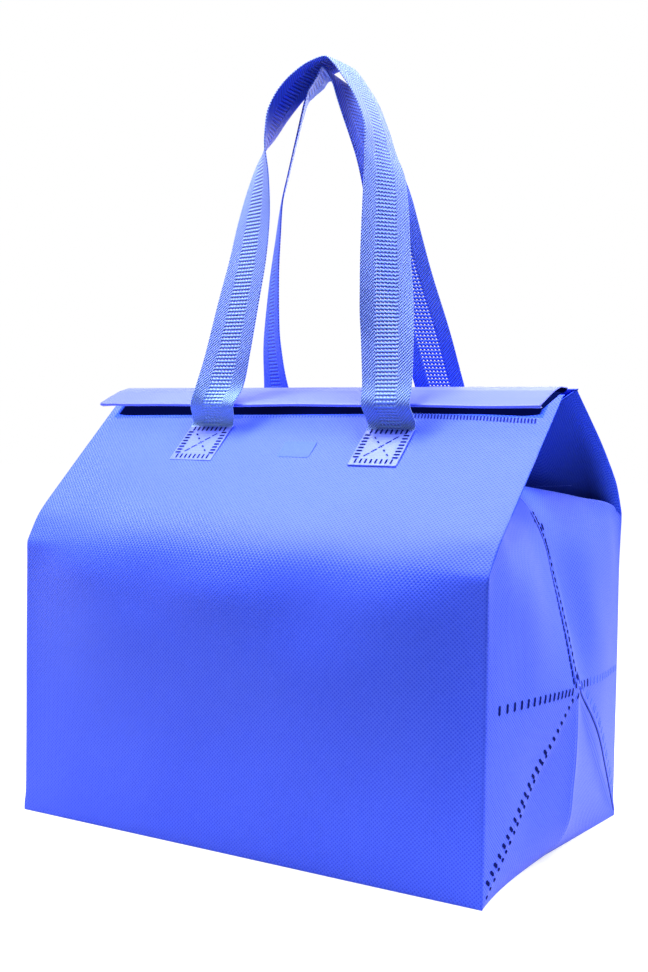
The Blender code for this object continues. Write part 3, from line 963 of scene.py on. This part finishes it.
def folded_path(points, radius, count):
    """Polyline with its corners rounded and resampled evenly, and its length."""
    points = np.array(points, float)
    marks = lengths_along(points)
    fine = np.linspace(0, marks[-1], 600)
    ease = np.minimum(1, np.minimum(fine, marks[-1] - fine) / (2 * radius + 1e-9))
    total, weights = 0, 0
    for k in np.linspace(-2, 2, 17):
        weight = math.exp(-k * k / 2)
        total = total + weight * at_lengths(np.clip(fine + k * radius * ease, 0, marks[-1]), marks, points)
        weights += weight
    line = total / weights
    lengths = lengths_along(line)
    return at_lengths(np.linspace(0, lengths[-1], count), lengths, line), lengths[-1]


def build_flap():
    """Doubled strip: tongue inside the back panel, over the ridge and down, folded back at its front edge."""
    roof = math.radians(BACK_ROOF)
    inward = np.array([-math.sin(roof), -math.cos(roof)])
    up_roof = np.array([-math.cos(roof), math.sin(roof)])
    mouth = back_corners[-1]
    tongue_top = mouth + inward * 0.0019
    crest_z = mouth[1] + 0.0005
    front_crest = np.array([FLAP_CREST_Y, crest_z])
    back_crest = front_crest + np.array([0.0120, 0])
    fall = np.array([-math.cos(math.radians(FLAP_ANGLE)), -math.sin(math.radians(FLAP_ANGLE))])
    tip = front_crest + fall * FLAP_FALL
    under = np.array([0.0, -1.0])
    layer = 0.0016
    half_full = WIDTH / 2 - 0.0015
    half_tongue = half_full - 0.014
    path = [
        (*(tongue_top - up_roof * 0.0350), half_tongue),
        (*(tongue_top - up_roof * 0.0060), half_tongue),
        (*tongue_top, half_full - 0.0045),
        (*(back_crest + under * 0.0002), half_full),
        (*(front_crest), half_full),
        (*(front_crest + fall * 0.0110 + np.array([0, 0.0012])), half_full),
        (*(front_crest + fall * 0.0230 + np.array([0, 0.0008])), half_full),
        (*tip, half_full),
        (*(tip + under * layer - fall * 0.0002), half_full),
        (*(front_crest + under * (layer + 0.0004) + np.array([0.0005, 0])), half_full),
        (*(back_crest + under * (layer + 0.0002) - np.array([0.004, 0])), half_full - 0.001),
    ]
    line, length = folded_path(path, 0.0009, 150)
    columns = spread(120, 0.5) * 2 - 1
    grid = np.zeros((len(line), len(columns), 3))
    share = np.linspace(0, 1, len(line))[:, None]
    across = columns[None, :]
    grid[..., 0] = across * line[:, 2:3]
    front = rise(-line[:, 0:1], -0.004, 0.035)
    wave = 0.00025 * np.sin(across * 5.1 + 0.6) + 0.0002 * np.sin(across * 11.3 + 2.0)
    # The under layer stands a little off the upper one at both ends
    under_layer = rise(np.arange(len(line))[:, None] / len(line), 0.69, 0.72)
    apart = 0.0016 * np.abs(across) ** 8 * under_layer
    grid[..., 1] = line[:, 0:1] + front * wave * 0.5
    grid[..., 2] = line[:, 1:2] + front * wave - apart
    uvs = np.stack([grid[..., 0], share * length + 0 * across], -1)
    sheet = Sheet()
    sheet.add_grid(grid, uvs)
    # Slots 0, 1 and 3 are the upper layer, the under layer and the front rim; the under layer is near-black painted
    # shade and the rim a lighter painted highlight, and each inner side takes the next slot, so the upper layer's
    # inner side is painted shade too
    mesh = sheet.mesh("top_flap_cloth")
    made = add_object("top_flap_cloth", mesh, flap_cloth, under_flap_shade_cloth, under_flap_shade_cloth, rim_highlight_cloth, rim_highlight_cloth)
    turn = (int(np.argmin(line[:, 0])) + 0.5) / (len(line) - 1)
    layer = made.data.uv_layers["cloth"].data
    facing = 0
    for polygon in made.data.polygons:
        v = layer[polygon.loop_start].uv.y / length
        polygon.material_index = 1 if v > turn + 0.004 else 3 if v > turn - 0.008 else 0
        facing += polygon.normal.z if 0.5 < v < 0.6 else 0
    if facing < 0:
        made.data.flip_normals()
    thicken(made, FLAP_SHEET, 0, 1)
    return made, length


# ---------------------------------------------------------------- straps

# Legs of the straps: share of the way up, distance from the middle as a share of the weld's, and turn
# of the strap in degrees, 0 where it lies flat to the front
FRONT_LEFT_LEG = [
    (0.000, 0.915, -4), (0.055, 0.850, -16), (0.150, 0.800, -7), (0.310, 0.745, 3), (0.430, 0.705, 10),
    (0.550, 0.690, 18), (0.670, 0.683, 34), (0.755, 0.672, 52), (0.810, 0.610, 68), (0.858, 0.555, 79),
    (0.903, 0.465, 86), (0.937, 0.370, 89), (0.964, 0.262, 90), (0.988, 0.120, 90),
]
FRONT_RIGHT_LEG = [
    (0.000, 1.005, 1), (0.060, 0.998, 4), (0.180, 0.950, 13), (0.250, 0.916, 25), (0.320, 0.884, 38),
    (0.410, 0.840, 49), (0.570, 0.772, 61), (0.650, 0.726, 70), (0.720, 0.655, 83), (0.790, 0.585, 90),
    (0.870, 0.450, 90), (0.940, 0.280, 90), (0.980, 0.165, 90),
]
BACK_LEFT_LEG = [
    (0.127, 1.039, 26), (0.248, 1.042, 36), (0.337, 1.007, 41), (0.461, 0.927, 46), (0.566, 0.835, 50),
    (0.662, 0.744, 54), (0.735, 0.638, 56), (0.831, 0.500, 57), (0.936, 0.345, 58), (0.960, 0.265, 60),
    (0.980, 0.170, 65),
]
BACK_RIGHT_LEG = [
    (0.127, 0.890, 24), (0.284, 0.771, 28), (0.449, 0.621, 32), (0.590, 0.520, 40), (0.650, 0.485, 48),
    (0.703, 0.445, 57), (0.753, 0.387, 67), (0.807, 0.309, 75), (0.869, 0.222, 81), (0.914, 0.168, 84),
    (0.959, 0.115, 87),
]


def smooth_path(points):
    """Fine points on a Catmull-Rom curve through all but the first and last of the points."""
    points = np.array(points, float)
    fine = []
    for a, b, c, d in zip(points, points[1:], points[2:], points[3:]):
        for t in np.arange(24) / 24:
            fine.append(b + ((c - a) * t + (2 * a - 5 * b + 4 * c - d) * t**2 + (3 * b - a - 3 * c + d) * t**3) / 2)
    fine.append(points[-2])
    return np.array(fine)


def strap_route(patch, start, legs, apex, apex_twist):
    """Points x, y, z and turn from the left weld over the apex to the right weld."""
    sides = []
    for side, leg in zip((-1, 1), legs):
        stations = [(y, z, 1.0, 0.0) for y, z in patch]
        for share, spread_out, twist in leg:
            y = start[0] + (apex[1] - start[0]) * share
            z = start[1] + (apex[2] - start[1]) * share
            stations.append((y, z, spread_out, twist))
        points = []
        for y, z, spread_out, twist in stations:
            turn = twist if side < 0 else 180 - twist
            points.append((HANDLE_SHIFT + side * HANDLE_SPACING / 2 * spread_out, y, z, math.radians(turn)))
        sides.append(points)
    welded = len(patch) - 1
    curved = [*sides[0][welded - 1:], (*apex, math.radians(apex_twist)), *reversed(sides[1][welded - 1:])]
    fine = smooth_path(curved)
    return np.concatenate([sides[0][:welded], fine, sides[1][:welded][::-1]])


def panel_patch(corners, face, below_mouth, stand_off):
    """Welded length laid on a panel: lower end, any bend that it crosses, upper end."""
    turned = corners[::-1]
    points, above, last_normal = [], 0.0, None
    for upper, lower in zip(turned, turned[1:]):
        step = lower - upper
        size = np.hypot(*step)
        normal = np.array([-step[1], step[0]]) / size
        if points:
            middle = (normal + last_normal) / np.linalg.norm(normal + last_normal)
            points.append(upper + middle * stand_off / middle.dot(normal))
        for distance in (below_mouth, below_mouth + PATCH_LENGTH):
            if above <= distance < above + size:
                points.append(upper + step * (distance - above) / size + normal * stand_off)
        above += size
        last_normal = normal
        if above > below_mouth + PATCH_LENGTH:
            break
    return [(face * out, z) for out, z in reversed(points)]


def strap_columns(thread):
    """Places across the strap, with two lines for each cell of the net, and which gaps may be open."""
    cell = (STRAP_WIDTH - 2 * SIDE_BAND) / NET_CELLS
    places = [-STRAP_WIDTH / 2, -STRAP_WIDTH / 2 + 0.0006]
    places += list(np.linspace(-STRAP_WIDTH / 2 + SIDE_BAND * 0.4, -STRAP_WIDTH / 2 + SIDE_BAND * 0.9, 4))
    hole = [False] * (len(places) - 1)
    for k in range(NET_CELLS):
        left = -STRAP_WIDTH / 2 + SIDE_BAND + cell * k
        hole.append(False)
        places.append(left + cell * thread)
        hole.append(True)
        places.append(left + cell * (1 - thread))
    hole.append(False)
    mirrored = [-p for p in reversed(places[:6])]
    places += mirrored
    hole += [False] * (len(mirrored) - 1)
    return np.array(places), np.array(hole)


def build_strap(name, route, weld_length, phase, face):
    """One strap as a ribbon with its net really open between its whole, welded ends."""
    marks = lengths_along(route[:, :3])
    length = marks[-1]
    thread = 0.36 if face < 0 else 0.335
    count = int(round(length / NET_PITCH))
    pitch = length / count
    cells = np.arange(count)
    rows = np.sort(np.concatenate([[0], (cells + thread) * pitch, (cells + 1 - thread) * pitch, [length]]))
    from_end = np.minimum(rows, length - rows)
    route_at = at_lengths(rows, marks, route)
    places, hole = strap_columns(thread)
    across = np.stack([np.cos(route_at[:, 3]), -np.sin(route_at[:, 3]), 0 * rows], -1)
    ahead = np.gradient(route_at[:, :3], rows, axis=0)
    ahead /= np.linalg.norm(ahead, axis=-1, keepdims=True)
    normal = np.cross(ahead, across)
    normal /= np.linalg.norm(normal, axis=-1, keepdims=True)
    free = rise(rows, weld_length, weld_length + 0.03) * rise(length - rows, weld_length, weld_length + 0.03)
    bow = 1 - (2 * places / STRAP_WIDTH) ** 2
    cup = 0.0007 * free[:, None] * bow[None, :] * np.sin(rows * 9 + phase)[:, None]
    flutter = np.sin(rows[:, None] * 41 + phase + np.sign(places)[None, :] * 0.8)
    flutter = 0.0004 * free[:, None] * flutter * (1 - bow[None, :])
    points = route_at[:, None, :3] + across[:, None] * places[None, :, None]
    points = points + normal[:, None] * (cup + flutter)[..., None]
    uvs = np.stack([places[None, :] + 0 * rows[:, None], rows[:, None] * NET_PITCH / pitch + 0 * places[None, :]], -1)
    open_row = np.zeros(len(rows) - 1, bool)
    open_row[1::2] = True
    middle = (rows[1:] + rows[:-1]) / 2
    open_row &= (middle > weld_length + 0.003) & (middle < length - weld_length - 0.003)
    drop = open_row[:, None] & hole[None, :]
    # Painted light on the front strap's legs just above their welds: strong on the left leg, weaker on the right, and
    # fading out about 5 cm up.
    painted_light_share = np.where(rows < length / 2, 0.85, 0.34) if face < 0 else 0 * rows
    painted_light_share = painted_light_share * (1 - rise(from_end, weld_length + 0.012, weld_length + 0.050))
    painted_light_share[from_end < weld_length] = 0
    sheet = Sheet()
    sheet.add_grid(points, uvs, drop=drop, painted_light_and_shade=painted_light_share[:, None] + 0 * places[None, :])
    made = add_object(name, sheet.mesh(name, 1e-7), strap_cloth, patch_cloth, strap_inner_shaded, strap_inner_shaded)
    layer = made.data.uv_layers["cloth"].data
    for polygon in made.data.polygons:
        v = layer[polygon.loop_start].uv.y * pitch / NET_PITCH
        polygon.material_index = int(min(v, length - v) < weld_length)
    if made.data.polygons[0].normal.y * face < 0:
        made.data.flip_normals()
    return made, length


strap_stand_off = WELD_GAP + MODEL_STRAP / 2
front_patch = panel_patch(front_corners, -1, FRONT_BELOW, strap_stand_off)
back_patch = panel_patch(back_corners, 1, BACK_BELOW, strap_stand_off)
rim = (
    FLAP_CREST_Y - math.cos(math.radians(FLAP_ANGLE)) * FLAP_FALL - (MODEL_FLAP + MODEL_STRAP) / 2 - 0.0036,
    back_corners[-1][1] + 0.0002 - math.sin(math.radians(FLAP_ANGLE)) * FLAP_FALL,
)
apex_z = front_corners[-1][1] + 0.2290
front_route = strap_route(front_patch, rim, (FRONT_LEFT_LEG, FRONT_RIGHT_LEG), (0.0025, 0.003, apex_z), 90)
back_route = strap_route(
    back_patch, back_patch[-1], (BACK_LEFT_LEG, BACK_RIGHT_LEG), (-0.0075, 0.007, apex_z - 0.0058), 70
)


def patch_marks(name, face, corners, roof_angle, below, surface):
    """Boxed cross of weld marks on each end of a strap."""
    marks = Marks(surface)
    for side in (-1, 1):
        x = HANDLE_SHIFT + side * HANDLE_SPACING / 2
        right = Vector((1, 0, 0))

        def at(a, b):
            return roof_frame(face, corners, roof_angle, x + a, below + b)

        wide, tall = STRAP_WIDTH / 2 - 0.0045, PATCH_LENGTH
        for k in range(8):
            a = -wide + 2 * wide * k / 7
            for b in (0.0030, tall - 0.0040):
                place, down, out = at(a, b)
                marks.add(place, out, down, 0.0044, 0.0014, 0.00013)
        for k in range(8):
            b = 0.0065 + (tall - 0.0140) * k / 7
            for a in (-wide - 0.0012, wide + 0.0012):
                place, down, out = at(a, b)
                marks.add(place, out, right, 0.0046, 0.0015, 0.00013)
        for k in range(5):
            share = (k + 0.5) / 5
            b = 0.0070 + (tall - 0.0150) * share
            place, down, out = at(-wide * 0.72 + 1.44 * wide * share, b)
            marks.add(place, out, right * 0.75 + down * 0.66, 0.0026, 0.0011, 0.00013)
            place, down, out = at(wide * 0.72 - 1.44 * wide * share, b)
            marks.add(place, out, right * 0.75 - down * 0.66, 0.0046, 0.0011, 0.00013)
    marks.build(name, "strap_nonwoven", patch_cloth, weld_film)


def rounded_pad(name, width, height, thickness, corner, material):
    """Thin pad with rounded corners and a softened edge, lying in its own x-y plane."""
    outline = []
    for cx, cy, start in ((1, 1, 0), (-1, 1, 90), (-1, -1, 180), (1, -1, 270)):
        for k in range(5):
            a = math.radians(start + 22.5 * k)
            x, y = cx * (width / 2 - corner), cy * (height / 2 - corner)
            outline.append((x + corner * math.cos(a), y + corner * math.sin(a)))
    work = bmesh.new()
    rings = []
    for shrink, z in ((0.0002, -thickness / 2), (0.0, -thickness / 4), (0.0, thickness / 4), (0.0003, thickness / 2)):
        in_x, in_y = 1 - 2 * shrink / width, 1 - 2 * shrink / height
        rings.append([work.verts.new((x * in_x, y * in_y, z)) for x, y in outline])
    count = len(outline)
    for low, high in zip(rings, rings[1:]):
        for k in range(count):
            work.faces.new((low[k], low[(k + 1) % count], high[(k + 1) % count], high[k]))
    work.faces.new(rings[-1])
    work.faces.new(list(reversed(rings[0])))
    mesh = bpy.data.meshes.new(name)
    work.to_mesh(mesh)
    work.free()
    return add_object(name, mesh, material)


# ---------------------------------------------------------------- assembly

for side in (-1, 1):
    side_marks(side)
hem_marks(-1, front_corners, FRONT_ROOF, "front_hem_weld")
hem_marks(1, back_corners, BACK_ROOF, "back_hem_weld")
thicken(body, SKIN, -1)
flap, flap_length = build_flap()
front_strap, front_length = build_strap("front_handle_strap", front_route, PATCH_LENGTH, 0.4, -1)
back_strap, back_length = build_strap("back_handle_strap", back_route, PATCH_LENGTH, 2.1, 1)
# Each strap's inner side takes the darker strap material, painted shade.
for strap in (front_strap, back_strap):
    thicken(strap, STRAP_SHEET, 0, 2)
patch_marks("front_handle_welds", -1, front_corners, FRONT_ROOF, FRONT_BELOW, tree_of(front_strap))
patch_marks("back_handle_welds", 1, back_corners, BACK_ROOF, BACK_BELOW, tree_of(back_strap))

loop_pad = rounded_pad("loop_pad_tape", 0.025, 0.015, 0.0005, 0.0012, pad_pile)
place, _, out = roof_frame(-1, front_corners, FRONT_ROOF, 0.007, 0.0552)
loop_turn = Matrix.Rotation(math.radians(FRONT_ROOF), 4, "X")
loop_pad.matrix_world = Matrix.Translation(place + out * 0.00055) @ loop_turn
hook_pad = rounded_pad("hook_pad_tape", 0.025, 0.015, 0.0007, 0.0012, pad_pile)
low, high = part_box("hook_pad")
hook_pad.matrix_world = Matrix.Translation((low + high) / 2) @ Matrix.Rotation(math.radians(FLAP_ANGLE), 4, "X")

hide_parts("bag_body")
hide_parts("top_flap")
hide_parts("front_handle")
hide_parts("back_handle")
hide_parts("loop_pad")
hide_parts("hook_pad")

# The flap and the hook pad cast no shadow; the shade under the flap is painted into the roof and into the flap's under
# layer instead.
for piece in (flap, hook_pad):
    piece.visible_shadow = False


# ---------------------------------------------------------------- floor, light and background

def studio_floor(size=6.0, level=-0.0004):
    """White floor that glows for the camera, darker and greyer near the bag."""
    mesh = bpy.data.meshes.new("floor")
    corners = ((-1, -1), (1, -1), (1, 1), (-1, 1))
    mesh.from_pydata([(x * size, y * size, level) for x, y in corners], [], [(0, 1, 2, 3)])
    n = Nodes("floor_paint")
    n.shader.inputs["Roughness"].default_value = 0.9
    n.shader.inputs["Specular IOR Level"].default_value = 0.0
    speckle = n.noise(60, 2, 0.5)
    n.put(n.shader.inputs["Normal"], n.bump(speckle, 0.00005))
    ray = n.node("ShaderNodeLightPath")
    glow = n.node("ShaderNodeEmission")
    glow.inputs["Color"].default_value = (1, 1, 1, 1)
    seen = n.math("MAXIMUM", ray.outputs["Is Glossy Ray"], ray.outputs["Is Transmission Ray"])
    where = n.node("ShaderNodeTexCoord").outputs["Object"]
    away = n.node("ShaderNodeVectorMath", operation="LENGTH")
    n.put(away.inputs[0], where)
    far = n.ramp(away.outputs["Value"], 0.28, 0.60, 0.0, 1.0)
    n.put(n.shader.inputs["Base Color"], n.mix(far, (0.56, 0.56, 0.57), (0.10, 0.10, 0.10)))
    brightness = n.ramp(away.outputs["Value"], 0.28, 0.60, 0.66, 1.02)
    seen = n.math("MAXIMUM", ray.outputs["Is Camera Ray"], seen)
    n.put(glow.inputs["Strength"], n.math("MULTIPLY", seen, brightness))
    both = n.node("ShaderNodeAddShader")
    n.put(both.inputs[0], n.shader.outputs[0])
    n.put(both.inputs[1], glow.outputs[0])
    output = n.tree.nodes["Material Output"]
    n.put(output.inputs["Surface"], both.outputs[0])
    mesh.materials.append(n.material)
    floor = bpy.data.objects.new("floor", mesh)
    bpy.context.scene.collection.objects.link(floor)


def area_light(name, position, target, width, height, power):
    data = bpy.data.lights.new(name, "AREA")
    data.shape = "RECTANGLE"
    data.size, data.size_y = width, height
    data.energy = power
    lamp = bpy.data.objects.new(name, data)
    lamp.location = position
    lamp.rotation_mode = "QUATERNION"
    lamp.rotation_quaternion = (Vector(target) - Vector(position)).to_track_quat("-Z", "Y")
    bpy.context.scene.collection.objects.link(lamp)


def studio_world(strength):
    """White backdrop for the camera, and a faint cool light from all round."""
    world = bpy.data.worlds.new("studio")
    world.use_nodes = True
    bpy.context.scene.world = world
    tree = world.node_tree

    def brighter(a, b):
        made = tree.nodes.new("ShaderNodeMath")
        made.operation = "MAXIMUM"
        tree.links.new(a, made.inputs[0])
        tree.links.new(b, made.inputs[1])
        return made.outputs[0]

    plain, white = tree.nodes["Background"], tree.nodes.new("ShaderNodeBackground")
    for node, colour, power in ((plain, (0.92, 0.95, 1.0, 1), strength), (white, (1, 1, 1, 1), 1.0)):
        node.inputs["Color"].default_value = colour
        node.inputs["Strength"].default_value = power
    ray = tree.nodes.new("ShaderNodeLightPath").outputs
    mix = tree.nodes.new("ShaderNodeMixShader")
    seen = brighter(ray["Is Camera Ray"], brighter(ray["Is Glossy Ray"], ray["Is Transmission Ray"]))
    for socket, place in ((seen, 0), (plain.outputs[0], 1), (white.outputs[0], 2)):
        tree.links.new(socket, mix.inputs[place])
    tree.links.new(mix.outputs[0], tree.nodes["World Output"].inputs[0])


# Area lights: place, point they face, width, height and power in watts
LAMPS = {
    "sky_box": ((-0.55, 0.10, 1.60), (0, 0, 0.20), 0.6, 0.6, 6),
    "top_front": ((-0.40, -0.75, 1.90), (0, 0, 0.15), 0.5, 0.5, 10),
    "top_left": ((-0.90, -0.50, 1.60), (0, 0, 0.15), 0.5, 0.5, 24),
    "top_middle": ((-0.40, -0.10, 1.60), (0, 0, 0.15), 0.4, 0.4, 16.8),
    "top_right": ((0.35, -0.15, 1.60), (0, 0, 0.15), 0.4, 0.4, 24),
    "right_high": ((1.00, 0.60, 1.40), (0, 0, 0.20), 0.8, 0.8, 20),
    "right_rear": ((0.90, 0.90, 0.90), (0.17, 0.05, 0.10), 0.4, 0.4, 3),
    "low_right": ((1.30, -0.20, 0.10), (0.17, 0, 0.04), 0.4, 0.3, 1.5),
    "right_side": ((1.45, 0.85, 0.50), (0, 0, 0.15), 0.9, 1.1, 7),
    "low_left": ((-0.75, -0.35, 0.06), (-0.15, -0.11, 0.03), 0.25, 0.25, 1.4),
    "back_light": ((-0.20, 1.80, 0.80), (0, 0, 0.25), 1.4, 0.9, 18),
}


studio_floor()
studio_world(0.06)
for lamp_name, settings in LAMPS.items():
    area_light(lamp_name, *settings)
bpy.context.scene.view_settings.view_transform = "Standard"
